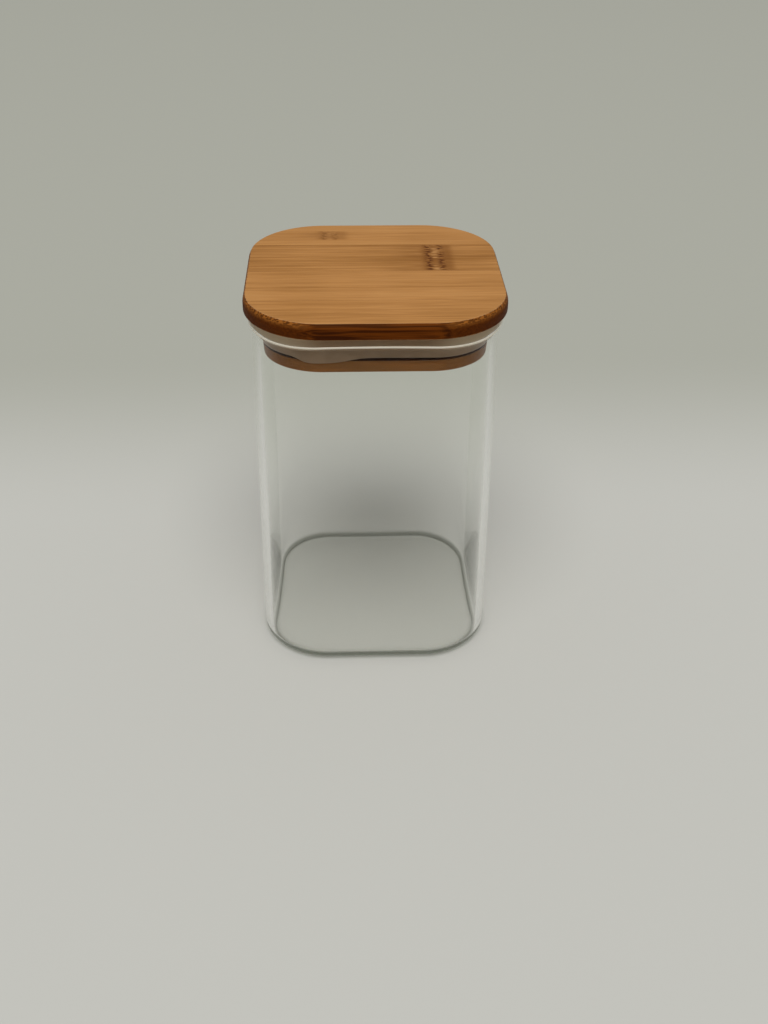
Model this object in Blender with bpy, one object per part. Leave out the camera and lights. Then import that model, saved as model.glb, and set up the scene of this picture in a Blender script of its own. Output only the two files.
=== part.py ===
# Square glass storage jar with a bamboo lid and a silicone gasket.
# Metres, +Z up and +Y to the back. The origin is the middle of the base, on the table.
#
# Seen from above, every outline is the same small square, the core, with a round of some
# reach about it. Outlines of unlike reach so stay parallel all the way round, and a piece
# is a list of (reach, height) points that is drawn round the core.

import math

import bmesh
import bpy
from mathutils import Vector

# Vessel, blown in one piece
jar_width = 0.0990
jar_height = 0.1544
jar_corner_radius = 0.0290
wall = 0.0030
base_thickness = 0.0036
bottom_round = 0.0042
inner_bottom_round = 0.0032
wall_lean = 0.0010  # how far each wall leans in from the bottom to the rim
bead_out = 0.0012  # how far the rim's bead stands out from the wall
bead_rise = 0.0030  # height over which the wall swells into the bead

# Lid board, the ply that shows
board_thickness = 0.0065
board_overhang = 0.0019  # past the widest part of the vessel, on each side
board_top_round = 0.0016
board_foot_round = 0.0008

# Plug, from the board down: collar, groove for the gasket, lip
plug_gap = 0.0018  # from the plug to the inside of the wall
collar_height = 0.0024
groove_height = 0.0090
lip_height = 0.0049
groove_depth = 0.0032
plug_round = 0.0007

# Bamboo strips. A ply's outer two strips are what its whole strips leave of its width, and
# each share is what the back one takes of that. The glue lines of the plies so are staggered
strip_width = 0.0285
board_back_share = 0.52
upper_back_share = 0.42
lower_back_share = 0.58
glue_line = 0.0001

# Gasket: a band in the groove, with a soft fin that reaches up and out to the glass
band_proud = 0.0003  # how far the band stands out from the plug's lip
web_share = 0.44  # of the band's thickness, left behind the notch over the fin
fin_root_share = 0.36  # of the band's height, from its foot
notch_share = 0.60
fin_edge_share = 0.84
fin_tip_share = 0.92

# Fits and cuts
seat_gap = 0.0003  # between pieces that rest on or slide past each other
overrun = 0.0050  # of a cutting slab past what it cuts
weld = 0.000001  # points of a ring's first and last loop within this are one

# How finely rounds are drawn
corner_steps = 12
round_steps = 5
rim_steps = 10
bead_steps = 6
smooth_below = math.radians(35)

core = jar_width / 2 - jar_corner_radius
wall_reach = jar_corner_radius
mouth_reach = wall_reach - wall_lean - wall
plug_reach = mouth_reach - plug_gap
groove_reach = plug_reach - groove_depth
board_reach = wall_reach + board_overhang
board_foot = jar_height + seat_gap
collar_foot = board_foot - collar_height
lip_top = collar_foot - groove_height
plug_foot = lip_top - lip_height


def clear_scene():
    for obj in list(bpy.data.objects):
        bpy.data.objects.remove(obj, do_unlink=True)


def new_collection(name):
    collection = bpy.data.collections.new(name)
    bpy.context.scene.collection.children.link(collection)
    return collection


def material(name, color, roughness, transmission=0.0, ior=1.5, subsurface=0.0):
    made = bpy.data.materials.new(name)
    made.use_nodes = True
    shader = made.node_tree.nodes["Principled BSDF"]
    shader.inputs["Base Color"].default_value = (*color, 1.0)
    shader.inputs["Roughness"].default_value = roughness
    shader.inputs["Metallic"].default_value = 0.0
    shader.inputs["Transmission Weight"].default_value = transmission
    shader.inputs["IOR"].default_value = ior
    shader.inputs["Subsurface Weight"].default_value = subsurface
    return made


# Drawing a piece round the core


def arc(reach, height, radius, first, last, steps):
    """Points (reach, height) on an arc about a centre; angles in degrees, 0 outwards and 90 up."""
    angles = [math.radians(first + (last - first) * i / steps) for i in range(steps + 1)]
    return [(reach + radius * math.cos(a), height + radius * math.sin(a)) for a in angles]


def core_outline():
    """(point on the core, direction outwards) for each point of an outline, once round."""
    outline = []
    for quarter in range(4):
        middle = math.radians(45 + 90 * quarter)
        corner = Vector((math.copysign(core, math.cos(middle)), math.copysign(core, math.sin(middle)), 0))
        for i in range(corner_steps + 1):
            a = math.radians(90 * (quarter + i / corner_steps))
            outline.append((corner, Vector((math.cos(a), math.sin(a), 0))))
    return outline


def drawn_round(name, profile, ring=False):
    """A mesh made by pulling one loop along the profile. Its ends are capped, or meet in a ring."""
    bm = bmesh.new()
    outline = core_outline()
    loop = [bm.verts.new() for _ in outline]
    edges = [bm.edges.new((loop[i - 1], loop[i])) for i in range(len(loop))]
    place_loop(loop, outline, profile[0])
    for step in profile[1:] + profile[:1] * ring:
        pulled = bmesh.ops.extrude_edge_only(bm, edges=edges)["geom"]
        fresh = {item for item in pulled if isinstance(item, bmesh.types.BMVert)}
        loop = [next(e.other_vert(v) for e in v.link_edges if e.other_vert(v) in fresh) for v in loop]
        edges = [bm.edges.get((loop[i - 1], loop[i])) for i in range(len(loop))]
        place_loop(loop, outline, step)
    if ring:
        bmesh.ops.remove_doubles(bm, verts=bm.verts, dist=weld)
    else:
        bmesh.ops.holes_fill(bm, edges=bm.edges, sides=0)
    bmesh.ops.recalc_face_normals(bm, faces=bm.faces)
    mesh = bpy.data.meshes.new(name)
    bm.to_mesh(mesh)
    bm.free()
    mesh.shade_smooth()
    mesh.set_sharp_from_angle(angle=smooth_below)
    return mesh


def place_loop(loop, outline, step):
    reach, height = step
    for vert, (corner, outwards) in zip(loop, outline):
        vert.co = corner + outwards * reach
        vert.co.z = height


def add_piece(name, mesh, made_of, collection, parent=None):
    if not mesh.materials:
        mesh.materials.append(made_of)
    piece = bpy.data.objects.new(name, mesh)
    collection.objects.link(piece)
    piece.parent = parent
    return piece


# Vessel


def vessel_profile():
    """From the rim of the flat base, up the outside, over the rim and down the inside to the floor."""
    rim_radius = (wall + bead_out) / 2
    top_reach = wall_reach - wall_lean
    bead_top = jar_height - rim_radius
    bead_foot = bead_top - bead_rise
    points = arc(wall_reach - bottom_round, bottom_round, bottom_round, -90, 0, round_steps)
    for i in range(bead_steps):
        swell = (1 - math.cos(math.pi * i / bead_steps)) / 2
        points.append((top_reach + bead_out * swell, bead_foot + bead_rise * i / bead_steps))
    points += arc(top_reach + bead_out - rim_radius, bead_top, rim_radius, 0, 180, rim_steps)
    floor_reach = wall_reach - wall - inner_bottom_round
    floor_height = base_thickness + inner_bottom_round
    points += arc(floor_reach, floor_height, inner_bottom_round, 0, -90, round_steps)
    return points


# Lid: three plies of glued strips


def board_profile():
    """The board, from the middle of its underside out and up over its rounded edges."""
    foot = arc(board_reach - board_foot_round, board_foot_round, board_foot_round, -90, 0, round_steps)
    top_round = board_thickness - board_top_round
    top = arc(board_reach - board_top_round, top_round, board_top_round, 0, 90, round_steps)
    return foot + top


def upper_profile():
    """The plug's upper ply: the top half of the groove, then the collar under the board."""
    split = lip_top + groove_height / 2
    return [
        (groove_reach, split + glue_line - board_foot),
        (groove_reach, collar_foot - board_foot),
        (plug_reach, collar_foot - board_foot),
        (plug_reach, -glue_line),
    ]


def lower_profile():
    """The plug's lower ply: the lip that shows under the gasket, then the bottom half of the groove."""
    split = lip_top + groove_height / 2
    foot = plug_foot - board_foot
    edge = arc(plug_reach - plug_round, foot + plug_round, plug_round, -90, 0, round_steps)
    return edge + [
        (plug_reach, lip_top - board_foot),
        (groove_reach, lip_top - board_foot),
        (groove_reach, split - board_foot),
    ]


def glue_lines(reach, back_share):
    """Where the strips of a ply meet, from the back to the front."""
    width = 2 * (core + reach)
    strips = math.ceil(width / strip_width)
    outer_two = width - (strips - 2) * strip_width
    first = width / 2 - outer_two * back_share
    return [first - strip_width * i for i in range(strips - 1)]


def add_slab(name, back, front, low, high, collection):
    """A cutting slab that keeps one strip of a ply. It runs over the ply's ends, and over its faces."""
    mesh = bpy.data.meshes.new(name)
    bm = bmesh.new()
    bmesh.ops.create_cube(bm, size=1.0)
    length = 2 * (core + board_reach + overrun)
    bmesh.ops.scale(bm, verts=bm.verts, vec=(length, back - front, high - low + 2 * overrun))
    bm.to_mesh(mesh)
    bm.free()
    slab = bpy.data.objects.new(name, mesh)
    slab.location = (0, (back + front) / 2, (low + high) / 2 + board_foot)
    slab.hide_render = True
    slab.display_type = "WIRE"
    collection.objects.link(slab)
    return slab


def add_ply(name, profile, reach, back_share, wood, pieces, cutters, lid):
    """A ply as strips, numbered from the back. Each is the ply's shape, kept only inside its slab."""
    mesh = drawn_round(name, profile)
    edge = core + reach + overrun
    low = min(height for _, height in profile)
    high = max(height for _, height in profile)
    lines = glue_lines(reach, back_share)
    backs = [edge] + [line - glue_line / 2 for line in lines]
    fronts = [line + glue_line / 2 for line in lines] + [-edge]
    for i, (back, front) in enumerate(zip(backs, fronts), start=1):
        strip = add_piece(f"{name}_strip_{i}", mesh, wood, pieces, parent=lid)
        slab = add_slab(f"{name}_slab_{i}", back, front, low, high, cutters)
        cut = strip.modifiers.new("strip", "BOOLEAN")
        cut.operation = "INTERSECT"
        cut.solver = "EXACT"
        cut.object = slab


# Gasket


def gasket_profile():
    """Round the ring's section: foot, outside, fin, notch over the fin, head, and back down the inside."""
    inside = groove_reach + seat_gap
    outside = plug_reach + band_proud
    web = inside + (outside - inside) * web_share
    tip = mouth_reach - seat_gap
    foot = lip_top + seat_gap - board_foot
    height = groove_height - 2 * seat_gap
    return [
        (inside, foot),
        (outside, foot),
        (outside, foot + height * fin_root_share),
        (tip, foot + height * fin_edge_share),
        (tip, foot + height * fin_tip_share),
        (web, foot + height * notch_share),
        (web, foot + height),
        (inside, foot + height),
    ]


def main():
    clear_scene()
    pieces = new_collection("glass_storage_jar")
    cutters = new_collection("cutters")
    glass = material("clear_glass", (0.97, 0.99, 0.98), 0.0, transmission=1.0, ior=1.47)
    wood = material("bamboo", (0.42, 0.20, 0.068), 0.45)
    silicone = material("silicone", (0.62, 0.60, 0.56), 0.40, transmission=0.4, ior=1.41, subsurface=0.3)

    vessel = drawn_round("glass_jar", vessel_profile())
    add_piece("glass_jar", vessel, glass, pieces)

    lid = bpy.data.objects.new("lid_lift", None)
    lid.location = (0, 0, board_foot)
    pieces.objects.link(lid)
    add_ply("board", board_profile(), board_reach, board_back_share, wood, pieces, cutters, lid)
    add_ply("plug_upper", upper_profile(), plug_reach, upper_back_share, wood, pieces, cutters, lid)
    add_ply("plug_lower", lower_profile(), plug_reach, lower_back_share, wood, pieces, cutters, lid)
    gasket = drawn_round("silicone_gasket", gasket_profile(), ring=True)
    add_piece("silicone_gasket", gasket, silicone, pieces, parent=lid)


main()
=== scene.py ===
# Dresses the glass storage jar: a clear square vessel, a lid glued up from bamboo strips in
# three plies, and the milky silicone seal round its plug. All lengths are in millimetres here
# and become metres where a mesh, a lamp or the camera is made.
import bpy
import bmesh
import math
from mathutils import Matrix, Vector


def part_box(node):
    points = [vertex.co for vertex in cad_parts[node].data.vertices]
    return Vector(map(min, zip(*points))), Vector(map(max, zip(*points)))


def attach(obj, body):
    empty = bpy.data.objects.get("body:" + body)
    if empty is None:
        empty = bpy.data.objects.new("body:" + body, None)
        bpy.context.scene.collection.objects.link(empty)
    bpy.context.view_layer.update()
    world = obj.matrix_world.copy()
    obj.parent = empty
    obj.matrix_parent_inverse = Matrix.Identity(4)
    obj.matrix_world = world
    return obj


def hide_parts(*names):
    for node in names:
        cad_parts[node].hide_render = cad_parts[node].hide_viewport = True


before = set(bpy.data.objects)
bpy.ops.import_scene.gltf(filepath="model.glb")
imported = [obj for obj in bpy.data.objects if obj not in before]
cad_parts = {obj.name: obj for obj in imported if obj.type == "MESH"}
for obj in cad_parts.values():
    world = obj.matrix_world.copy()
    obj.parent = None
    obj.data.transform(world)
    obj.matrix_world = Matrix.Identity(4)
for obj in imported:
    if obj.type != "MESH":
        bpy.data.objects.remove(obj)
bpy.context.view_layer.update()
metre = 0.001  # one millimetre, in metres


def nodeBox(name):
    low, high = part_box(name)
    return low / metre, high / metre


def srgb(red, green, blue):
    # a colour as a picture program shows it, from 0 to 255, to the linear values a shader takes
    values = [c / 255 for c in (red, green, blue)]
    return tuple(v / 12.92 if v <= 0.04045 else ((v + 0.055) / 1.055) ** 2.4 for v in values) + (1.0,)


# Shapes that are drawn round the jar

jarHigh = nodeBox("glass_jar")[1]
boardLow, boardHigh = nodeBox("board_strip_2")
plugLow, plugHigh = nodeBox("plug_lower_strip_2")
sealHigh = nodeBox("silicone_gasket")[1]

outline = {
    "core": 20.5,  # half the side of the square that every corner is struck from
    "cornerSteps": 28,
    "flatSteps": 14,
    "frontMiddle": 17 / 24,  # share of the way round at the middle of the front
    "smoothBelow": 38,  # degrees between two faces
}


def makeStations():
    # each station is (place on the core, direction outwards, how far round it is from 0 to 1)
    core, corner, flat = outline["core"], outline["cornerSteps"], outline["flatSteps"]
    stations = []
    for quarter in range(4):
        middle = math.radians(45 + 90 * quarter)
        start = Vector((math.copysign(core, math.cos(middle)), math.copysign(core, math.sin(middle))))
        turn = math.radians(90 * (quarter + 1))
        for i in range(corner + 1):
            a = math.radians(90 * (quarter + i / corner))
            stations.append((start, Vector((math.cos(a), math.sin(a)))))
        along = Vector((-math.sin(turn), math.cos(turn))) * 2 * core
        for i in range(1, flat):
            stations.append((start + along * i / flat, Vector((math.cos(turn), math.sin(turn)))))
    count = len(stations)
    return [(place, outwards, i / count) for i, (place, outwards) in enumerate(stations)]


stations = makeStations()


def arc(reach, height, radius, first, last, steps):
    # (reach, height) points on an arc, angles in degrees, 0 outwards and 90 up
    angles = [math.radians(first + (last - first) * i / steps) for i in range(steps + 1)]
    return [(reach + radius * math.cos(a), height + radius * math.sin(a)) for a in angles]


def drawnRound(name, profileAt, closed=False, finishAt=None):
    # profileAt(share) gives the section at that share of the way round. A closed section makes
    # a ring, and an open one is capped at both ends. finishAt(middle, row) gives a face its finish
    mesh = bmesh.new()
    columns = []
    for place, outwards, share in stations:
        column = []
        for reach, height in profileAt(share):
            spot = place + outwards * reach
            column.append(mesh.verts.new((spot.x * metre, spot.y * metre, height * metre)))
        columns.append(column)
    rows = len(columns[0])
    for i, column in enumerate(columns):
        before = columns[i - 1]
        for j in range(rows if closed else rows - 1):
            k = (j + 1) % rows
            face = mesh.faces.new((before[j], column[j], column[k], before[k]))
            if finishAt:
                face.material_index = finishAt(face.calc_center_median() / metre, j)
    if not closed:
        mesh.faces.new([column[0] for column in reversed(columns)])
        mesh.faces.new([column[-1] for column in columns])
    bmesh.ops.recalc_face_normals(mesh, faces=mesh.faces)
    made = bpy.data.meshes.new(name)
    mesh.to_mesh(made)
    mesh.free()
    return made


def addPiece(name, mesh, finishes, body, slotName, *nodes):
    for finish in finishes:
        mesh.materials.append(finish)
    mesh.shade_smooth()
    mesh.set_sharp_from_angle(angle=math.radians(outline["smoothBelow"]))
    piece = bpy.data.objects.new(name, mesh)
    bpy.context.scene.collection.objects.link(piece)
    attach(piece, body)
    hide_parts(*nodes)
    return piece


# Shader building blocks


def newMaterial(name):
    made = bpy.data.materials.new(name)
    made.use_nodes = True
    return made, made.node_tree, made.node_tree.nodes["Principled BSDF"]


def put(tree, socket, value):
    if isinstance(value, bpy.types.NodeSocket):
        tree.links.new(value, socket)
    elif value is not None:
        socket.default_value = value


def maths(tree, operation, *values):
    made = tree.nodes.new("ShaderNodeMath")
    made.operation = operation
    for socket, value in zip(made.inputs, values):
        put(tree, socket, value)
    return made.outputs[0]


def remap(tree, value, fromLow, fromHigh, toLow=0.0, toHigh=1.0, smooth=True):
    made = tree.nodes.new("ShaderNodeMapRange")
    made.interpolation_type = "SMOOTHSTEP" if smooth else "LINEAR"
    for name, given in (("Value", value), ("From Min", fromLow), ("From Max", fromHigh),
                        ("To Min", toLow), ("To Max", toHigh)):
        put(tree, made.inputs[name], given)
    return made.outputs["Result"]


def mixColour(tree, share, first, second, blend="MIX"):
    made = tree.nodes.new("ShaderNodeMix")
    made.data_type = "RGBA"
    made.blend_type = blend
    put(tree, made.inputs[0], share)
    put(tree, made.inputs[6], first)
    put(tree, made.inputs[7], second)
    return made.outputs[2]


def ramp(tree, value, stops):
    made = tree.nodes.new("ShaderNodeValToRGB")
    elements = made.color_ramp.elements
    while len(elements) < len(stops):
        elements.new(0.5)
    for element, (position, colour) in zip(elements, stops):
        element.position = position
        element.color = colour
    put(tree, made.inputs[0], value)
    return made.outputs[0]


def millimetres(tree):
    # places on the piece, in millimetres, which ride along with it
    where = tree.nodes.new("ShaderNodeTexCoord").outputs["Object"]
    made = tree.nodes.new("ShaderNodeVectorMath")
    made.operation = "SCALE"
    put(tree, made.inputs[0], where)
    put(tree, made.inputs["Scale"], 1 / metre)
    return made.outputs[0]


def vectorOf(tree, operation, first, second):
    made = tree.nodes.new("ShaderNodeVectorMath")
    made.operation = operation
    put(tree, made.inputs[0], first)
    put(tree, made.inputs[1], second)
    return made.outputs[0]


def noiseOf(tree, place, size, detail=2.0, roughness=0.5):
    # noise whose grains measure about size, three lengths in millimetres
    cornerPale = vectorOf(tree, "DIVIDE", place, size)
    made = tree.nodes.new("ShaderNodeTexNoise")
    put(tree, made.inputs["Vector"], cornerPale)
    put(tree, made.inputs["Scale"], 1.0)
    put(tree, made.inputs["Detail"], detail)
    put(tree, made.inputs["Roughness"], roughness)
    return made.outputs["Fac"]


def bumpOf(tree, height, distance, strength=1.0, normal=None):
    made = tree.nodes.new("ShaderNodeBump")
    put(tree, made.inputs["Height"], height)
    put(tree, made.inputs["Distance"], distance * metre)
    put(tree, made.inputs["Strength"], strength)
    if normal is not None:
        put(tree, made.inputs["Normal"], normal)
    return made.outputs["Normal"]


# Camera: it stands in front and a little to the left, and looks down at the lid

camera = {
    "place": (-13.3, -452.9, 347.0),
    "turn": 0.040,  # to the right, radians
    "tilt": 0.588,  # down, radians
    "roll": 0.009,
    "lens": 42.19,
    "sensor": 36,
    "nearest": 10.0,
}


def addCamera():
    turn, tilt, roll = camera["turn"], camera["tilt"], camera["roll"]
    ahead = Vector((math.sin(turn) * math.cos(tilt), math.cos(turn) * math.cos(tilt), -math.sin(tilt)))
    level = Vector((math.cos(turn), -math.sin(turn), 0))
    above = level.cross(ahead)
    right = level * math.cos(roll) + above * math.sin(roll)
    up = above * math.cos(roll) - level * math.sin(roll)
    data = bpy.data.cameras.new("camera")
    data.lens = camera["lens"]
    data.sensor_width = camera["sensor"]
    data.clip_start = camera["nearest"] * metre
    made = bpy.data.objects.new("camera", data)
    facing = Matrix((right, up, -ahead)).transposed().to_4x4()
    made.matrix_world = Matrix.Translation(Vector(camera["place"]) * metre) @ facing
    bpy.context.scene.collection.objects.link(made)
    bpy.context.scene.camera = made


addCamera()
print("camera placed")

# Floor, lamp and the pale surroundings

studio = {
    "floorSide": 16000.0,
    "floorDrop": 0.05,  # the floor lies this far under the jar, so that no two faces share a place
    "floorNear": srgb(196, 195, 189),
    "floorFarShade": srgb(173, 173, 163),
    "farFrom": 60.0,  # behind the jar, where painted shade starts to darken the floor, standing in for a backdrop in less light
    "farTo": 255.0,
    "floorEnd": srgb(218, 218, 208),
    "endFrom": 1500.0,  # out of the picture, where it starts to turn pale again towards the horizon
    "endTo": 7000.0,
    "grainSize": 1.1,
    "grainDepth": 0.02,
    "floorRough": 0.9,
    "floorGloss": 0.2,
    "keyPlace": (-220.0, -4320.0, 9700.0),
    "keyAim": (0, 0, 80.0),
    "keyWidth": 7650.0,
    "keyPower": 815.0,
    "skyStrength": 0.65,
    "skyColour": srgb(214, 216, 214),
    "skyLow": 0.35,  # how bright the sky is at the horizon, as a share of how bright it is overhead
    "skyFull": 0.8,  # how far up, as a share of straight up, it comes to its full brightness
    "surroundings": srgb(178, 179, 171),
}


def addFloor():
    mesh = bmesh.new()
    bmesh.ops.create_grid(mesh, x_segments=1, y_segments=1, size=studio["floorSide"] / 2 * metre)
    data = bpy.data.meshes.new("floor")
    mesh.to_mesh(data)
    mesh.free()
    floor = bpy.data.objects.new("floor", data)
    floor.location.z = -studio["floorDrop"] * metre
    bpy.context.scene.collection.objects.link(floor)
    paper, tree, shader = newMaterial("floorPaper")
    place = millimetres(tree)
    split = tree.nodes.new("ShaderNodeSeparateXYZ")
    put(tree, split.inputs[0], place)
    # painted shade: the floor turns darker behind the jar
    away = remap(tree, split.outputs["Y"], studio["farFrom"], studio["farTo"])
    farAway = remap(tree, split.outputs["Y"], studio["endFrom"], studio["endTo"])
    tone = mixColour(tree, away, studio["floorNear"], studio["floorFarShade"])
    tone = mixColour(tree, farAway, tone, studio["floorEnd"])
    grain = noiseOf(tree, place, (studio["grainSize"],) * 3)
    put(tree, shader.inputs["Base Color"], tone)
    put(tree, shader.inputs["Roughness"], studio["floorRough"])
    put(tree, shader.inputs["Specular IOR Level"], studio["floorGloss"])
    put(tree, shader.inputs["Normal"], bumpOf(tree, grain, studio["grainDepth"], 0.3))
    data.materials.append(paper)


def addLamp():
    data = bpy.data.lights.new("keyLamp", "AREA")
    data.shape = "DISK"
    data.size = studio["keyWidth"] * metre
    data.energy = studio["keyPower"]
    place = Vector(studio["keyPlace"])
    lamp = bpy.data.objects.new("keyLamp", data)
    lamp.location = place * metre
    lamp.rotation_euler = (Vector(studio["keyAim"]) - place).to_track_quat("-Z", "Y").to_euler()
    lamp.visible_transmission = False  # the rim shows no bright streaks of the lamp itself
    bpy.context.scene.collection.objects.link(lamp)


def addSky():
    world = bpy.data.worlds.new("sky")
    bpy.context.scene.world = world
    world.use_nodes = True
    tree = world.node_tree
    tree.nodes.clear()
    path = tree.nodes.new("ShaderNodeLightPath").outputs
    seen = maths(tree, "MAXIMUM", path["Is Camera Ray"], path["Is Glossy Ray"])
    seen = maths(tree, "MAXIMUM", seen, path["Is Transmission Ray"])
    towards = tree.nodes.new("ShaderNodeSeparateXYZ")
    put(tree, towards.inputs[0], tree.nodes.new("ShaderNodeTexCoord").outputs["Generated"])
    full = studio["skyStrength"]
    strength = remap(tree, towards.outputs["Z"], 0.0, studio["skyFull"], full * studio["skyLow"], full)
    lit = tree.nodes.new("ShaderNodeBackground")
    put(tree, lit.inputs["Color"], studio["skyColour"])
    put(tree, lit.inputs["Strength"], strength)
    shown = tree.nodes.new("ShaderNodeBackground")
    put(tree, shown.inputs["Color"], studio["surroundings"])
    mixed = tree.nodes.new("ShaderNodeMixShader")
    put(tree, mixed.inputs[0], seen)
    tree.links.new(lit.outputs[0], mixed.inputs[1])
    tree.links.new(shown.outputs[0], mixed.inputs[2])
    out = tree.nodes.new("ShaderNodeOutputWorld")
    tree.links.new(mixed.outputs[0], out.inputs["Surface"])


addFloor()
addLamp()
addSky()
bpy.context.scene.view_settings.view_transform = "Standard"
print("floor, lamp and sky in place")

# Vessel

vessel = {
    "height": jarHigh.z,
    "wall": 3.0,
    "lean": 1.0,  # how far each wall leans in from the bottom to the rim
    "base": 2.2,  # thinner than the solid's, to bring the foot's dark line down to where it shows
    "footRound": 4.2,
    "innerRound": 1.4,
    "rim": 3.95,  # thickness of the rim over the bead
    "beadOut": 1.2,
    "beadHeight": 150.75,
    "beadWave": 0.45,  # the bead hangs this much lower at the corners, and as much higher on the flats
    "beadRise": 1.9,
    "beadRound": 0.4,
    "shoulderTurn": 62,  # degrees that the bead's round turns before the hollow over it
    "kickSteps": 6,
    "footSteps": 14,
    "wallSteps": 24,
    "beadSteps": 12,
    "shoulderSteps": 10,
    "hollowSteps": 8,
    "rimSteps": 24,
    "innerSteps": 14,
    "highlightRowsBelow": 3,  # rows of faces under the bead that its painted highlight line takes in
    "scuffHeight": 0.035,  # up to which the foot is scuffed and painted with contact shade
    "kick": 0.1,  # how far the underside is pushed up inside the narrow ring that the jar stands on
    "ringWidth": 0.5,
    "wave": 0.05,  # unevenness that blowing leaves in the walls
    "waveHeight": 40.0,  # of wall, over which the first swell turns by one radian
    "swells": (  # times round, turn with height, turn with phase, strength
        (3, 1.0, 1, 1.0),
        (7, -1.7, 2, 0.6),
        (0, 2.3, 1, 0.4),
    ),
    "outerPhase": 0.0,
    "innerPhase": 1.9,
}
vessel["reach"] = jarHigh.x - outline["core"] - vessel["beadOut"] + vessel["lean"]  # of the walls' foot


def beadLift(share):
    # four low corners and four high flats
    return vessel["beadWave"] * math.cos(8 * math.pi * (share - outline["frontMiddle"]))


def wallWave(share, height, up, phase):
    # low swells that repeat once round, so that they meet themselves, and die away at both ends
    a = share * 2 * math.pi
    h = height / vessel["waveHeight"]
    swell = 0
    for times, climb, phases, strength in vessel["swells"]:
        swell += strength * math.sin(times * a + climb * h + phases * phase)
    return vessel["wave"] * swell / 2 * math.sin(math.pi * up) ** 0.5


def vesselProfile(share):
    v = vessel
    foot, inner = v["footRound"], v["innerRound"]
    rim = v["rim"] / 2
    topReach = v["reach"] - v["lean"]
    beadReach = topReach + v["beadOut"]
    beadHeight = v["beadHeight"] + beadLift(share)
    beadFoot = beadHeight - v["beadRise"]
    rimReach = topReach - v["wall"] + v["rim"]
    rimCentre = v["height"] - rim
    ringInside = v["reach"] - foot - v["ringWidth"]
    points = []
    for i in range(v["kickSteps"]):
        out = i / v["kickSteps"]
        h = v["kick"] * (1 + math.cos(math.pi * out)) / 2
        points.append((ringInside - 2 * v["kick"] * (1 - out), h))
    points += arc(v["reach"] - foot, foot, foot, -90, 0, v["footSteps"])
    outerFoot = points[-1][1]
    for i in range(1, v["wallSteps"]):
        up = i / v["wallSteps"]
        h = outerFoot + (beadFoot - outerFoot) * up
        wave = wallWave(share, h, up, v["outerPhase"])
        points.append((v["reach"] - v["lean"] * up + wave, h))
    for i in range(v["beadSteps"]):
        up = i / v["beadSteps"]
        swell = (1 - math.cos(math.pi * up)) / 2
        points.append((topReach + v["beadOut"] * swell, beadFoot + v["beadRise"] * up))
    turned = v["shoulderTurn"]
    shoulder = arc(beadReach - v["beadRound"], beadHeight, v["beadRound"], 0, turned, v["shoulderSteps"])
    points += shoulder
    # a small hollow between the bead and the rim over it
    hollow = (shoulder[-1][0] - rimReach) / (1 - math.cos(math.radians(turned)))
    neck = shoulder[-1][1] + hollow * math.sin(math.radians(turned))
    points += arc(rimReach + hollow, neck, hollow, 180 + turned, 180, v["hollowSteps"])[1:]
    points += arc(rimReach - rim, rimCentre, rim, 0, 180, v["rimSteps"])
    innerReach = v["reach"] - v["wall"]
    innerFoot = v["base"] + inner
    for i in range(1, v["wallSteps"]):
        down = i / v["wallSteps"]
        h = rimCentre + (innerFoot - rimCentre) * down
        wave = wallWave(share, h, down, v["innerPhase"])
        points.append((innerReach - v["lean"] * (1 - down) + wave, h))
    points += arc(innerReach - inner, innerFoot, inner, 0, -90, v["innerSteps"])
    return points


glass = {
    "ior": 1.42,
    "mirrorTint": (0.16, 0.16, 0.16, 1.0),
    "tint": (0.985, 0.989, 0.98, 1.0),
    "rimTint": (0.86, 0.885, 0.83, 1.0),
    "rimFrom": 149.5,
    "rimTo": 152.0,
    # painted shade: the base's tint darkens the floor seen through it
    "baseShadeTint": (0.82, 0.821, 0.812, 1.0),
    "baseReach": 23.0,  # glass within this reach is tinted as the base
    "baseEnd": 25.0,  # and glass beyond this one as the foot
    "baseFade": 2.0,  # height over the foot's round in which both tints fade out
    "shadowTint": (0.99, 0.992, 0.985, 1.0),
    "footShadow": (0.52, 0.53, 0.5, 1.0),
    "bounceLimit": 3.5,  # light that has bounced more often than this is let out
    # painted shade: light let out of the base is darkened
    "caughtBaseShade": (0.3, 0.31, 0.28, 1.0),
    "caughtWall": (0.98, 0.985, 0.975, 1.0),
    "swirlSize": (26.0, 26.0, 60.0),
    "swirlDepth": 0.25,
    # painted highlight: a near-white matt band along the bead
    "beadHighlightColour": srgb(248, 240, 222),
    "beadHighlightRough": 0.35,
    "beadHighlightClear": 0.15,
    # scuffing and painted contact shade: the ring the jar stands on is grey
    "scuffAndShadeColour": srgb(140, 140, 131),
    "scuffRough": 0.5,
    "scuffClear": 0.3,
    "mattIor": 1.47,
    "speckleSize": (1.3, 1.3, 0.4),
    "speckleDepth": 0.03,
}


def reachOf(tree, x, y):
    # how far out a place lies, past the core
    past = []
    for side in (x, y):
        off = maths(tree, "SUBTRACT", maths(tree, "ABSOLUTE", side), outline["core"])
        off = maths(tree, "MAXIMUM", off, 0.0)
        past.append(maths(tree, "MULTIPLY", off, off))
    return maths(tree, "SQRT", maths(tree, "ADD", past[0], past[1]))


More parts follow.
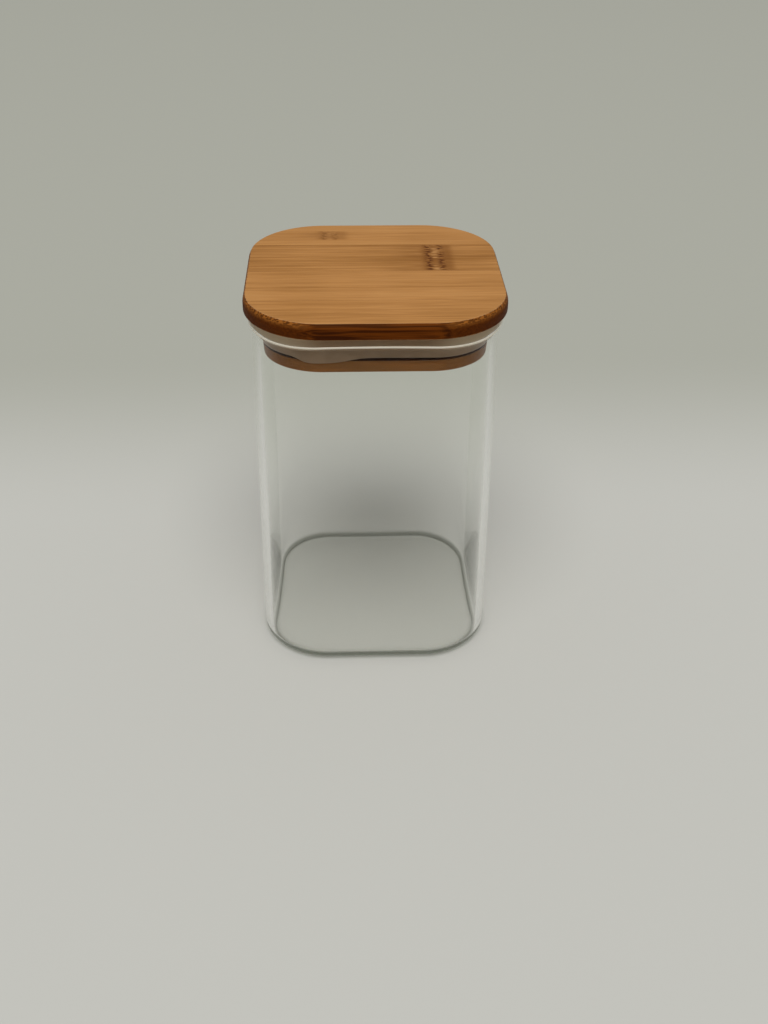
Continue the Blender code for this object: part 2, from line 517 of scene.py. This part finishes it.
def glassMaterial():
    finish, tree, shader = newMaterial("clearGlass")
    place = millimetres(tree)
    swirl = noiseOf(tree, place, glass["swirlSize"], 1.0)
    split = tree.nodes.new("ShaderNodeSeparateXYZ")
    put(tree, split.inputs[0], place)
    x, y, z = split.outputs
    nearRim = remap(tree, z, glass["rimFrom"], glass["rimTo"])
    low = remap(tree, z, vessel["footRound"] + glass["baseFade"], vessel["footRound"])
    reach = reachOf(tree, x, y)
    inBase = maths(tree, "MULTIPLY", low, remap(tree, reach, glass["baseEnd"], glass["baseReach"]))
    inFoot = maths(tree, "MULTIPLY", low, remap(tree, reach, glass["baseReach"], glass["baseEnd"]))
    # thick glass takes more of the light at the rim; the base's tint is painted shade that darkens the
    # floor seen through the base
    tint = mixColour(tree, nearRim, glass["tint"], glass["rimTint"])
    put(tree, shader.inputs["Base Color"], mixColour(tree, inBase, tint, glass["baseShadeTint"]))
    put(tree, shader.inputs["Roughness"], 0.0)
    put(tree, shader.inputs["IOR"], glass["ior"])
    put(tree, shader.inputs["Specular Tint"], glass["mirrorTint"])
    put(tree, shader.inputs["Transmission Weight"], 1.0)
    put(tree, shader.inputs["Normal"], bumpOf(tree, swirl, glass["swirlDepth"], 0.25))
    path = tree.nodes.new("ShaderNodeLightPath").outputs
    through = tree.nodes.new("ShaderNodeBsdfTransparent")
    mixed = tree.nodes.new("ShaderNodeMixShader")
    # light for what stands behind the glass passes straight through it
    straight = maths(tree, "MAXIMUM", path["Is Shadow Ray"], path["Is Diffuse Ray"])
    # and light that has been caught in a wall for long is let out, darkened in the base as painted shade
    # for the dark contact under the foot
    caught = maths(tree, "GREATER_THAN", path["Ray Depth"], glass["bounceLimit"])
    letOut = mixColour(tree, inBase, glass["caughtWall"], glass["caughtBaseShade"])
    shaded = mixColour(tree, inFoot, glass["shadowTint"], glass["footShadow"])
    put(tree, through.inputs["Color"], mixColour(tree, straight, letOut, shaded))
    put(tree, mixed.inputs[0], maths(tree, "MAXIMUM", straight, caught))
    tree.links.new(shader.outputs[0], mixed.inputs[1])
    tree.links.new(through.outputs[0], mixed.inputs[2])
    tree.links.new(mixed.outputs[0], tree.nodes["Material Output"].inputs["Surface"])
    return finish


def vesselFinish(middle, row):
    # 1 is the painted highlight along the bead, 2 the ring that the jar stands on, grey with scuffing and
    # painted contact shade
    wallEnd = vessel["kickSteps"] + vessel["footSteps"] + vessel["wallSteps"]
    beadEnd = wallEnd + vessel["beadSteps"]
    if row < wallEnd and middle.z < vessel["scuffHeight"]:
        return 2
    if beadEnd - vessel["highlightRowsBelow"] <= row < beadEnd + vessel["shoulderSteps"]:
        return 1
    return 0


def mattMaterial(name, colour, roughness, clear):
    finish, tree, shader = newMaterial(name)
    place = millimetres(tree)
    speckle = noiseOf(tree, place, glass["speckleSize"])
    put(tree, shader.inputs["Base Color"], colour)
    put(tree, shader.inputs["Roughness"], roughness)
    put(tree, shader.inputs["IOR"], glass["mattIor"])
    put(tree, shader.inputs["Transmission Weight"], clear)
    put(tree, shader.inputs["Normal"], bumpOf(tree, speckle, glass["speckleDepth"], 0.4))
    return finish


vesselFinishes = [
    glassMaterial(),
    mattMaterial("beadPaintedHighlight", glass["beadHighlightColour"], glass["beadHighlightRough"], glass["beadHighlightClear"]),
    mattMaterial("scuffedRingAndShade", glass["scuffAndShadeColour"], glass["scuffRough"], glass["scuffClear"]),
]
vesselMesh = drawnRound("glassVessel", vesselProfile, finishAt=vesselFinish)
addPiece("glassVessel", vesselMesh, vesselFinishes, "jar", "clear_glass", "glass_jar")
print("vessel made")

# Bamboo lid

lid = {
    "foot": boardLow.z,  # underside of the board
    "boardThick": boardHigh.z - boardLow.z,
    "boardReach": boardHigh.x - outline["core"],
    "arris": 0.3,
    "arrisSwells": ((5, 0.4, 0.10), (11, 1.3, 0.08)),  # times round, phase, strength
    "topRound": 3.6,  # how far down the side the rounding reaches
    "topTurn": 52,  # degrees that the side turns in before the arris
    "topIn": 1.0,  # how far it comes in by then
    "footRound": 0.8,
    "plugReach": plugHigh.x - outline["core"],
    "grooveReach": 20.0,
    "collarFoot": 152.3,
    "collarRound": 0.15,
    "lipTop": 143.2,
    "lipRound": 0.2,
    "plugFoot": plugLow.z,
    "plugRound": 0.7,
    "plyGap": 0.05,
    "roundSteps": 6,
    "topSteps": 12,
    "plugSteps": 8,
    "lipSteps": 4,
    "stripWidth": 28.5,
    "glueGap": 0.03,
    "cutWithin": 0.0001,  # a point this close to a cutting plane counts as on it
}


def boardProfile(share):
    # the arris is sanded by hand, so its round is a little uneven
    a = share * 2 * math.pi
    uneven = 1
    for times, phase, strength in lid["arrisSwells"]:
        uneven += strength * math.sin(times * a + phase)
    arris = lid["arris"] * uneven
    reach, footRound = lid["boardReach"], lid["footRound"]
    top = lid["foot"] + lid["boardThick"]
    points = arc(reach - footRound, lid["foot"] + footRound, footRound, -90, 0, lid["roundSteps"])
    full = math.radians(lid["topTurn"])
    for i in range(1, lid["topSteps"] + 1):
        turn = full * i / lid["topSteps"]
        inwards = lid["topIn"] * (1 - math.cos(turn)) / (1 - math.cos(full))
        up = (lid["topRound"] - arris) * math.sin(turn) / math.sin(full)
        points.append((reach - inwards, top - lid["topRound"] + up))
    slope = 90 - lid["topTurn"]
    edge = points[-1][0] - arris * math.cos(math.radians(slope))
    return points[:-1] + arc(edge, top - arris, arris, slope, 90, lid["roundSteps"])


def upperProfile(share):
    # the upper half of the groove, then the collar under the board
    split = (lid["collarFoot"] + lid["lipTop"]) / 2
    r, gap = lid["collarRound"], lid["plyGap"]
    plug, groove, collar = lid["plugReach"], lid["grooveReach"], lid["collarFoot"]
    return [
        (groove, split + gap),
        (groove, collar),
        (plug - r, collar),
        (plug, collar + r),
        (plug, lid["foot"] - gap),
    ]


def lowerProfile(share):
    # the lip under the seal, then the lower half of the groove
    split = (lid["collarFoot"] + lid["lipTop"]) / 2
    r, edge = lid["plugRound"], lid["lipRound"]
    plug, groove, top = lid["plugReach"], lid["grooveReach"], lid["lipTop"]
    points = arc(plug - r, lid["plugFoot"] + r, r, -90, 0, lid["plugSteps"])
    points += arc(plug - edge, top - edge, edge, 0, 90, lid["lipSteps"])
    return points + [(groove, top), (groove, split - lid["plyGap"])]


def cutStrip(whole, back, front, name):
    # keeps the part of a ply between two planes across it, and closes the cuts
    mesh = bmesh.new()
    mesh.from_mesh(whole)
    for edge, facing in ((back, 1), (front, -1)):
        if edge is None:
            continue
        everything = mesh.verts[:] + mesh.edges[:] + mesh.faces[:]
        cut = bmesh.ops.bisect_plane(
            mesh,
            geom=everything,
            plane_co=(0, edge * metre, 0),
            plane_no=(0, facing, 0),
            clear_outer=True,
            dist=lid["cutWithin"] * metre,
        )
        rim = [item for item in cut["geom_cut"] if isinstance(item, bmesh.types.BMEdge)]
        bmesh.ops.edgenet_fill(mesh, edges=rim)
    bmesh.ops.recalc_face_normals(mesh, faces=mesh.faces)
    made = bpy.data.meshes.new(name)
    mesh.to_mesh(made)
    mesh.free()
    return made


def glueLines(reach, backShare):
    width = 2 * (outline["core"] + reach)
    strips = math.ceil(width / lid["stripWidth"])
    outerTwo = width - (strips - 2) * lid["stripWidth"]
    return [width / 2 - outerTwo * backShare - lid["stripWidth"] * i for i in range(strips - 1)]


bamboo = {
    "dark": srgb(142, 94, 44),
    "middle": srgb(181, 128, 73),
    "light": srgb(197, 145, 89),
    "node": srgb(88, 44, 13),
    "nodeShade": srgb(118, 70, 26),
    "wearAndHighlight": srgb(226, 178, 128),
    "sideLit": srgb(158, 96, 38),
    "side": srgb(100, 48, 7),
    "sideDark": srgb(58, 23, 3),
    "pore": srgb(56, 24, 6),
    "ledgeShade": srgb(58, 26, 8),
    "glue": srgb(120, 76, 38),
    "glueWidth": 0.22,
    "glueShare": 0.2,
    "stalkShift": (173.0, 41.0, 17.0),  # from one strip's place in the grain to the next one's
    "bend": 0.9,  # how far the grain wanders to each side
    "bendSize": (70.0, 14.0, 14.0),
    "broadSize": (150.0, 5.0, 5.0),
    "broadShare": 0.5,
    "streakSize": (60.0, 0.9, 0.9),
    "streakShare": 0.4,
    "fineSize": (22.0, 0.26, 0.3),
    "fineRough": 0.6,
    "fineShare": 0.65,
    "cloudSize": (34.0, 26.0, 26.0),
    "cloudShare": 0.3,
    "sideStreakSize": (30.0, 0.5, 0.9),
    "poreSize": (14.0, 0.62, 0.62),
    "poreEdge": (0.66, 0.4),  # distances from a bundle's middle at which it starts and is full
    "gloss": 0.03,
    "reliefDepth": 0.05,
}


def gauss(tree, value, middle, width):
    # a soft hump of height 1 about the middle
    off = maths(tree, "DIVIDE", maths(tree, "SUBTRACT", value, middle), width)
    return maths(tree, "EXPONENT", maths(tree, "MULTIPLY", maths(tree, "MULTIPLY", off, off), -1.0))


def bundlesOf(tree, place, size):
    # bundles of fibres: dots where they are cut across, thin dark lines where they lie along
    cornerPale = vectorOf(tree, "DIVIDE", place, size)
    made = tree.nodes.new("ShaderNodeTexVoronoi")
    put(tree, made.inputs["Vector"], cornerPale)
    put(tree, made.inputs["Scale"], 1.0)
    return remap(tree, made.outputs["Distance"], *bamboo["poreEdge"])


def bambooMaterial(name, seed, lines, ply, tone, node):
    finish, tree, shader = newMaterial(name)
    place = millimetres(tree)
    split = tree.nodes.new("ShaderNodeSeparateXYZ")
    put(tree, split.inputs[0], place)
    x, y = split.outputs[:2]
    # every strip comes from another stalk, so its grain is drawn from another place
    own = vectorOf(tree, "ADD", place, [seed * shift for shift in bamboo["stalkShift"]])
    drift = noiseOf(tree, own, bamboo["bendSize"], 1.0)
    bent = tree.nodes.new("ShaderNodeCombineXYZ")
    put(tree, bent.inputs[1], remap(tree, drift, 0.0, 1.0, -bamboo["bend"], bamboo["bend"], smooth=False))
    grain = vectorOf(tree, "ADD", own, bent.outputs[0])
    broad = noiseOf(tree, grain, bamboo["broadSize"])
    streak = noiseOf(tree, grain, bamboo["streakSize"])
    fine = noiseOf(tree, grain, bamboo["fineSize"], 2.0, bamboo["fineRough"])
    cloud = noiseOf(tree, own, bamboo["cloudSize"], 1.0)
    grains = ((broad, "broadShare"), (streak, "streakShare"), (fine, "fineShare"), (cloud, "cloudShare"))
    value = 0.0
    for given, name in grains:
        value = maths(tree, "MULTIPLY_ADD", maths(tree, "SUBTRACT", given, 0.5), bamboo[name], value)
    value = maths(tree, "ADD", value, 0.5 + tone)
    broken = remap(tree, streak, 0.2, 0.7, 0.4, 1.0)
    for height, width, change in ply["streaks"]:
        near = maths(tree, "MULTIPLY", gauss(tree, y, height, width), broken)
        value = maths(tree, "MULTIPLY_ADD", near, change, value)
    stops = [(0.15, bamboo["dark"]), (0.5, bamboo["middle"]), (0.85, bamboo["light"])]
    colour = ramp(tree, value, stops)
    pores = bundlesOf(tree, grain, bamboo["poreSize"])
    facing = tree.nodes.new("ShaderNodeNewGeometry").outputs["Normal"]
    normal = tree.nodes.new("ShaderNodeSeparateXYZ")
    put(tree, normal.inputs[0], facing)
    across = remap(tree, maths(tree, "ABSOLUTE", normal.outputs["X"]), 0.04, 0.35)
    poreShare = maths(tree, "MULTIPLY", pores, remap(tree, across, 0.0, 1.0, 0.06, 0.85, smooth=False))
    if node:
        shade, marks, pale = nodeMark(tree, x, y, own, node)
        colour = mixColour(tree, shade, colour, bamboo["nodeShade"])
        colour = mixColour(tree, pale, colour, bamboo["light"])
        colour = mixColour(tree, marks, colour, bamboo["node"])
    # the sides take up more oil, and so do the ends of the fibres
    upwards = maths(tree, "ABSOLUTE", normal.outputs["Z"])
    side = remap(tree, upwards, 0.95, 0.55, 0.0, ply["oil"])
    sideStreak = noiseOf(tree, grain, bamboo["sideStreakSize"])
    streaky = remap(tree, across, 0.0, 1.0, 1.0, 0.2)
    sideStreak = maths(tree, "MULTIPLY_ADD", maths(tree, "SUBTRACT", sideStreak, 0.5), streaky, 0.5)
    sideTone = mixColour(tree, remap(tree, sideStreak, 0.35, 0.65), bamboo["sideDark"], bamboo["side"])
    # painted light: just under the arris, where the side turns up, it is lighter, most of all at the
    # corners
    overSide = remap(tree, upwards, 0.1, 0.6)
    high = maths(tree, "MULTIPLY", overSide, remap(tree, across, 0.0, 1.0, 0.08, 1.0))
    colour = mixColour(tree, side, colour, mixColour(tree, high, sideTone, bamboo["sideLit"]))
    if ply["groove"]:
        # painted shade: faces that look up in the plug are darkened, most of all the ledge that the seal
        # sits on, deep in its shade
        ledgeShade = remap(tree, normal.outputs["Z"], 0.4, 0.8, 0.0, 0.95)
        colour = mixColour(tree, ledgeShade, colour, bamboo["ledgeShade"])
    # cut ends of fibres show best near the top, where the side turns over
    poreShare = maths(tree, "MULTIPLY", poreShare, remap(tree, upwards, 0.1, 0.6, 0.25, 1.0))
    colour = mixColour(tree, poreShare, colour, bamboo["pore"])
    # the arris is rubbed paler, with a painted highlight along it
    wearAndHighlight = remap(tree, fine, 0.35, 0.6, 0.4, 0.85)
    wearAndHighlight = maths(tree, "MULTIPLY", gauss(tree, upwards, 0.8, 0.09), wearAndHighlight)
    colour = mixColour(tree, wearAndHighlight, colour, bamboo["wearAndHighlight"])
    for line in lines:
        near = maths(tree, "MULTIPLY", gauss(tree, y, line, bamboo["glueWidth"]), bamboo["glueShare"])
        colour = mixColour(tree, near, colour, bamboo["glue"])
    put(tree, shader.inputs["Base Color"], colour)
    put(tree, shader.inputs["Roughness"], remap(tree, streak, 0.3, 0.7, 0.46, 0.58))
    put(tree, shader.inputs["Specular IOR Level"], bamboo["gloss"])
    relief = maths(tree, "MULTIPLY_ADD", fine, 0.6, maths(tree, "MULTIPLY", pores, -0.8))
    put(tree, shader.inputs["Normal"], bumpOf(tree, relief, bamboo["reliefDepth"], 0.5))
    return finish


stalkJoint = {
    "edge": 1.2,  # over which the mark fades at its strip's sides
    "streakSize": (18.0, 1.0, 1.0),
    "fleckSize": (2.2, 1.15, 1.15),
    "paleSize": (8.0, 1.2, 1.2),
    "shadeOff": -4.0,  # of the broad shade's middle from the mark's
    "closeOff": 0.8,  # and of the close shade's
    "closeFrom": 8.5,
    "closeTo": 4.5,
    "leftRow": 1.5,  # half widths of the two rows of flecks
    "rightRow": 1.3,
    "broadShare": 0.75,
    "paleShare": 1 / 2.6,  # of the distance between the rows
    "strengths": (0.65, 1.0, 0.7),  # of the shade, the flecks and the pale fibres
}


def nodeMark(tree, x, y, own, node):
    # where a stalk had a joint: shaded wood, two rows of dark flecks and pale fibres between them
    mark = stalkJoint
    middle, apart = node["x"], node["apart"]
    away = maths(tree, "ABSOLUTE", maths(tree, "SUBTRACT", y, node["y"]))
    held = remap(tree, away, node["half"], node["half"] - mark["edge"])
    streaky = noiseOf(tree, own, mark["streakSize"], 1.0)
    flecky = noiseOf(tree, own, mark["fleckSize"], 1.0)
    paler = noiseOf(tree, own, mark["paleSize"], 1.0)
    broad = gauss(tree, x, middle + mark["shadeOff"], node["shadeLength"])
    broad = maths(tree, "MULTIPLY", broad, remap(tree, streaky, 0.35, 0.65))
    beside = maths(tree, "ABSOLUTE", maths(tree, "SUBTRACT", x, middle + mark["closeOff"]))
    close = remap(tree, beside, mark["closeFrom"], mark["closeTo"])
    close = maths(tree, "MULTIPLY", close, remap(tree, streaky, 0.15, 0.55, 0.5, 1.0))
    shade = maths(tree, "MAXIMUM", maths(tree, "MULTIPLY", broad, mark["broadShare"]), close)
    left = gauss(tree, x, middle - apart / 2, mark["leftRow"])
    right = gauss(tree, x, middle + apart / 2, mark["rightRow"])
    flecks = maths(tree, "MULTIPLY", maths(tree, "ADD", left, right), remap(tree, flecky, 0.46, 0.54))
    between = gauss(tree, x, middle, apart * mark["paleShare"])
    pale = maths(tree, "MULTIPLY", between, remap(tree, paler, 0.52, 0.6))
    scaled = []
    for given, share in zip((shade, flecks, pale), mark["strengths"]):
        within = maths(tree, "MULTIPLY", given, held)
        scaled.append(maths(tree, "MULTIPLY", within, share * node["strength"]))
    return scaled


# streaks are (place across the ply, half width, change of tone), nodes are by number of strip
boardPly = {
    "piece": "boardStrip",
    "node": "board_strip_",
    "profile": boardProfile,
    "reach": lid["boardReach"],
    "backShare": 0.52,
    "tones": (0.01, -0.13, -0.02, -0.03),
    "oil": 1.0,
    "groove": False,
    "streaks": (
        (14.2, 0.6, -0.2),
        (-17.0, 0.7, -0.2),
        (3.4, 0.35, 0.25),
        (33.0, 0.5, -0.15),
        (-38.0, 0.6, -0.15),
    ),
    "nodes": {
        1: {"x": -18.0, "y": 38.5, "half": 5.5, "apart": 4.5, "shadeLength": 7.0, "strength": 0.5},
        2: {"x": 25.3, "y": 13.3, "half": 14.1, "apart": 5.0, "shadeLength": 11.0, "strength": 1.0},
    },
}

plugUpperPly = {
    "piece": "plugUpperStrip",
    "node": "plug_upper_strip_",
    "profile": upperProfile,
    "reach": lid["plugReach"],
    "backShare": 0.42,
    # painted light: the collar's strips are paler, with no oil, to lighten the shaded band under the
    # board
    "tones": (0.26, 0.3, 0.24, 0.28),
    "oil": 0.0,
    "groove": True,
    "streaks": (),
    "nodes": {},
}

plugLowerPly = {
    "piece": "plugLowerStrip",
    "node": "plug_lower_strip_",
    "profile": lowerProfile,
    "reach": lid["plugReach"],
    "backShare": 0.58,
    "tones": (0.02, -0.02, 0.02, 0.0),
    "oil": 0.65,
    "groove": True,
    "streaks": (
        (9.0, 0.5, -0.3),
        (-30.0, 0.6, -0.3),
    ),
    "nodes": {
        3: {"x": -21.0, "y": -17.0, "half": 13.5, "apart": 8.5, "shadeLength": 11.0, "strength": 0.8},
    },
}


def addPly(ply, firstSeed):
    whole = drawnRound(ply["piece"], ply["profile"])
    lines = glueLines(ply["reach"], ply["backShare"])
    backs, fronts = [None] + lines, lines + [None]
    for i, (back, front) in enumerate(zip(backs, fronts)):
        name = f"{ply['piece']}{i + 1}"
        gap = lid["glueGap"] / 2
        mesh = cutStrip(whole, back and back - gap, front and front + gap, name)
        near = [line for line in (back, front) if line is not None]
        finish = bambooMaterial(name, firstSeed + i, near, ply, ply["tones"][i], ply["nodes"].get(i + 1))
        addPiece(name, mesh, [finish], "lid", "bamboo", f"{ply['node']}{i + 1}")
    bpy.data.meshes.remove(whole)
    print(ply["piece"], "made", len(backs), "times")


addPly(boardPly, 1.0)
addPly(plugUpperPly, 6.0)
addPly(plugLowerPly, 11.0)
print("lid made")

# Silicone seal

seal = {
    "inside": 20.3,
    "outside": 23.5,
    "foot": 144.3,
    "top": sealHigh.z,
    "finRoot": 146.6,
    "tipReach": 25.06,  # just into the glass: the soft fin is pressed flat on it, with no air between
    "tipLow": 149.6,
    "tipHigh": 152.0,
    "notch": 148.6,
    "web": 21.7,
    "sagMiddle": 0.656,  # share of the way round where the foot has slipped down over the lip
    "sagLength": 0.033,
    "sag": 1.8,
    "sagOut": 0.35,
    "lift": 0.25,  # how far the foot rises off the ledge in places
    "lifts": 3,
    "liftFrom": 0.15,
    "footIn": 22.9,
    "footOut": 23.26,
    "footShare": 0.9,  # of the sag, taken up between these two reaches
    "footEdge": 0.1,
    "footRise": 0.4,
    "finOut": 0.5,
    "finRise": 1.6,
    "tipIn": 0.25,
    "tipRise": 0.8,
    "tipRound": 0.2,
    "tipBack": 0.5,
    "valleyReach": 23.2,
    "valleyHeight": 149.9,
    "webRound": 0.3,
    "topRound": 0.2,
}


def sealProfile(share):
    s = seal
    off = (share - s["sagMiddle"]) / s["sagLength"]
    slip = math.exp(-off ** 4)
    wave = math.sin(2 * math.pi * (share * s["lifts"] + s["liftFrom"]))
    foot = s["foot"] + s["lift"] * max(0.0, wave) * (1 - slip)
    outer = s["outside"] + s["sagOut"] * slip
    low = foot - s["sag"] * slip
    inside, web, notch, top = s["inside"], s["web"], s["notch"], s["top"]
    tip, high = s["tipReach"], s["tipHigh"]
    return [
        (inside, foot),
        (s["footIn"], foot),
        (s["footOut"], foot - (foot - low) * s["footShare"]),
        (outer - s["footEdge"], low + s["footEdge"]),
        (outer, low + s["footRise"]),
        (outer, s["finRoot"]),
        (s["outside"] + s["finOut"], s["finRoot"] + s["finRise"]),
        (tip - s["tipIn"], s["tipLow"] - s["tipRise"]),
        (tip, s["tipLow"]),
        (tip, high - s["tipRound"]),
        (tip - s["tipRound"], high),
        (tip - s["tipBack"], high - s["tipBack"]),
        (s["valleyReach"], s["valleyHeight"]),
        (web + s["webRound"], notch),
        (web, notch + s["webRound"]),
        (web, top - s["topRound"]),
        (web - s["topRound"], top),
        (inside, top),
    ]


silicone = {
    # painted light and shade: these browns and their darkness stand for bamboo-coloured light on the
    # milky silicone and the board's shade over it
    "colour": srgb(158, 126, 94),
    "pale": srgb(176, 144, 112),
    "pressed": srgb(186, 150, 114),  # where the fin lies on the glass
    "pressedFrom": 148.6,
    "pressedTo": 149.8,
    "cornerPale": srgb(238, 214, 182),  # and paler still round the corners there
    "cornerPaleFrom": outline["core"] - 3.0,
    "cornerPaleTo": outline["core"] + 13.0,
    "cloudSize": (9.0, 9.0, 5.0),
    "rough": 0.38,
    "ior": 1.41,
    "clear": 0.45,
    "grainSize": 0.5,
    "grainDepth": 0.03,
}


def siliconeMaterial():
    finish, tree, shader = newMaterial("milkySiliconeWithPaintedShade")
    place = millimetres(tree)
    cloud = noiseOf(tree, place, silicone["cloudSize"])
    split = tree.nodes.new("ShaderNodeSeparateXYZ")
    put(tree, split.inputs[0], place)
    x, y, z = split.outputs
    lesser = maths(tree, "MINIMUM", maths(tree, "ABSOLUTE", x), maths(tree, "ABSOLUTE", y))
    corner = remap(tree, lesser, silicone["cornerPaleFrom"], silicone["cornerPaleTo"])
    onGlass = remap(tree, z, silicone["pressedFrom"], silicone["pressedTo"])
    colour = mixColour(tree, remap(tree, cloud, 0.3, 0.7), silicone["colour"], silicone["pale"])
    pressed = mixColour(tree, corner, silicone["pressed"], silicone["cornerPale"])
    grain = noiseOf(tree, place, (silicone["grainSize"],) * 3)
    put(tree, shader.inputs["Base Color"], mixColour(tree, onGlass, colour, pressed))
    put(tree, shader.inputs["Roughness"], silicone["rough"])
    put(tree, shader.inputs["IOR"], silicone["ior"])
    put(tree, shader.inputs["Transmission Weight"], silicone["clear"])
    put(tree, shader.inputs["Normal"], bumpOf(tree, grain, silicone["grainDepth"], 0.3))
    return finish


sealMesh = drawnRound("siliconeSeal", sealProfile, closed=True)
addPiece("siliconeSeal", sealMesh, [siliconeMaterial()], "lid", "silicone", "silicone_gasket")
print("seal made")
